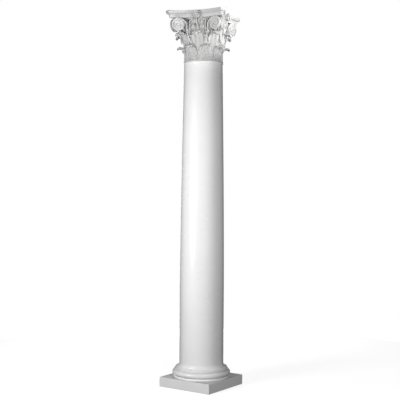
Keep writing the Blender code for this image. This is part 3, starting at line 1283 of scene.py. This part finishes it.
@dataclass
class Studio:
    """Floor, lights and the camera where the photograph was taken."""

    azimuth: float = math.radians(35.0)
    distance: float = 5.6316
    height: float = 1.2540
    lens: float = 77.03
    pitch: float = math.radians(-0.347)
    roll: float = math.radians(0.41)
    yaw: float = math.radians(0.166)
    spot_edge: float = 0.15
    spot_radius: float = 0.10
    ambient: float = 0.055
    floor_radius: float = 2.4

    def camera(self) -> None:
        """Sets up the camera from the fit to the photograph."""
        data = bpy.data.cameras.new("camera")
        data.lens = self.lens
        data.sensor_width = 36.0
        data.clip_end = 100.0
        camera = bpy.data.objects.new("camera", data)
        bpy.context.scene.collection.objects.link(camera)
        out = Vector((math.sin(self.azimuth), -math.cos(self.azimuth), 0.0))
        turn = Matrix.Rotation(self.yaw, 3, "Z")
        ahead = turn @ -out
        right = ahead.cross(Vector((0, 0, 1)))
        forward = ahead * math.cos(self.pitch) + Vector((0, 0, math.sin(self.pitch)))
        up = right.cross(forward)
        x = right * math.cos(self.roll) + up * math.sin(self.roll)
        y = up * math.cos(self.roll) - right * math.sin(self.roll)
        rotation = Matrix((x, y, -forward)).transposed()
        place = out * self.distance + Vector((0, 0, self.height))
        camera.matrix_world = Matrix.Translation(place) @ rotation.to_4x4()
        bpy.context.scene.camera = camera

    def lamp(self, name: str, watts: float, size: tuple[float, float], angle: float, away: float,
             height: float, aim: float, spread: float = 150.0) -> bpy.types.Object:
        """A soft rectangular lamp aimed at the column.

        Args:
            name: The lamp's name.
            watts: Its power.
            size: Width and height of its panel.
            angle: Degrees to the right of the camera, seen from the column.
            away: Distance from the column's axis.
            height: Height of its middle.
            aim: Height on the axis that it points at.
            spread: Degrees over which its light spreads, less than 180 for a fall-off to the sides.

        Returns:
            The lamp.
        """
        data = bpy.data.lights.new(name, "AREA")
        data.shape = "RECTANGLE"
        data.size, data.size_y = size
        data.energy = watts
        data.spread = math.radians(spread)
        return self.aimed(data, angle, away, height, aim)

    def aimed(self, data: bpy.types.Light, angle: float, away: float, height: float,
              aim: float) -> bpy.types.Object:
        """Stands a lamp beside the column and turns it to a height on the axis.

        Args:
            data: The lamp's light.
            angle: Degrees to the right of the camera, seen from the column.
            away: Distance from the column's axis.
            height: Height of the lamp.
            aim: Height on the axis that it points at.

        Returns:
            The lamp.
        """
        lamp = bpy.data.objects.new(data.name, data)
        bpy.context.scene.collection.objects.link(lamp)
        direction = self.azimuth + math.radians(angle)
        lamp.location = (math.sin(direction) * away, -math.cos(direction) * away, height)
        ray = Vector((0, 0, aim)) - lamp.location
        lamp.rotation_euler = ray.to_track_quat("-Z", "Y").to_euler()
        return lamp

    def spot(self, name: str, watts: float, angle: float, away: float, height: float, aim: float,
             cone: float) -> None:
        """A narrow lamp that brightens the capital alone.

        Args:
            name: The lamp's name.
            watts: Its power.
            angle: Degrees to the right of the camera, seen from the column.
            away: Distance from the column's axis.
            height: Its height.
            aim: Height on the axis that it points at.
            cone: Full angle of its cone in degrees.
        """
        data = bpy.data.lights.new(name, "SPOT")
        data.energy = watts
        data.spot_size = math.radians(cone)
        data.spot_blend = self.spot_edge
        data.shadow_soft_size = self.spot_radius
        self.aimed(data, angle, away, height, aim)

    def surroundings(self) -> None:
        """White surroundings behind the column that shed only a little light on it."""
        world = bpy.data.worlds.new("world")
        bpy.context.scene.world = world
        world.use_nodes = True
        tree = world.node_tree
        seen = tree.nodes.new("ShaderNodeLightPath").outputs["Is Camera Ray"]
        strength = tree.nodes.new("ShaderNodeMapRange")
        tree.links.new(seen, strength.inputs["Value"])
        strength.inputs["To Min"].default_value = self.ambient
        strength.inputs["To Max"].default_value = 1.0
        backdrop = tree.nodes["Background"]
        backdrop.inputs["Color"].default_value = (1, 1, 1, 1)
        tree.links.new(strength.outputs["Result"], backdrop.inputs["Strength"])

    def build(self) -> None:
        """Lays the floor and sets the lamps, the surroundings and the camera."""
        deselect()
        bpy.ops.mesh.primitive_circle_add(vertices=128, radius=self.floor_radius, fill_type="NGON")
        floor = added("floor")
        floor.data.materials.append(PaleFloor().material())
        floor.visible_diffuse = floor.visible_glossy = False
        self.surroundings()
        self.lamp("key", 41.0, (0.9, 0.95), -50.0, 2.7, 1.36, 1.36)
        fill = self.lamp("fill", 25.0, (1.2, 1.4), 14.0, 2.8, 1.15, 1.25)
        back = self.lamp("back", 46.0, (1.0, 1.5), 180.0, 3.4, 1.0, 1.4)
        fill.visible_glossy = back.visible_glossy = False
        self.lamp("high", 9.0, (0.22, 0.22), 26.0, 2.8, 3.3, 0.1)
        self.spot("accent", 520.0, 64.0, 3.0, 2.6, 2.45, 10.5)
        self.spot("front", 72.0, 14.0, 3.2, 2.0, 2.36, 8.7)
        self.spot("low", 68.0, 4.0, 3.0, 1.2, 2.38, 8.5)
        self.spot("rear_right", 210.0, 140.0, 3.2, 3.2, 2.36, 9.0)
        self.spot("rear_left", 210.0, -132.0, 3.2, 3.2, 2.36, 9.0)
        bpy.context.scene.view_settings.view_transform = "Standard"
        self.camera()


def dress(
    pieces: Iterable[bpy.types.Object], node: str, material: bpy.types.Material
) -> None:
    """Gives pieces their finish, hangs them under the root and hides the solid they stand for.

    Args:
        pieces: The pieces.
        node: The solid.
        material: The finish.
    """
    for piece in pieces:
        piece.data.materials.clear()
        piece.data.materials.append(material)
        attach(piece, "root")
        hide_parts(node)
        LOG.info("%s: %d triangles", piece.name, sum(len(f.vertices) - 2 for f in piece.data.polygons))


def main() -> None:
    """Builds the column's pieces in order, then the studio."""
    logging.basicConfig(level=logging.INFO, format="%(message)s")
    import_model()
    # The capital keeps the darker default tones of the plaster as painted shade; the plinth's plaster is
    # paler.
    gloss, plaster = GlossPaint(), CastPlaster()
    pale, dull = (0.775, 0.775, 0.773), (0.690, 0.689, 0.686)
    # The plinth's top carries painted shade, deepest next to the base.
    block = CastPlaster("block_plaster", light=pale, shade=dull, top_shade=0.34)
    made = {finish.name: finish.material() for finish in (gloss, plaster, block)}
    for piece, finish in ((Plinth(), block), (Base(), gloss), (Shaft(), gloss), (Capital(), plaster)):
        dress(piece.build(), piece.node, made[finish.name])
    Studio().build()


if __name__ == "__main__":
    main()
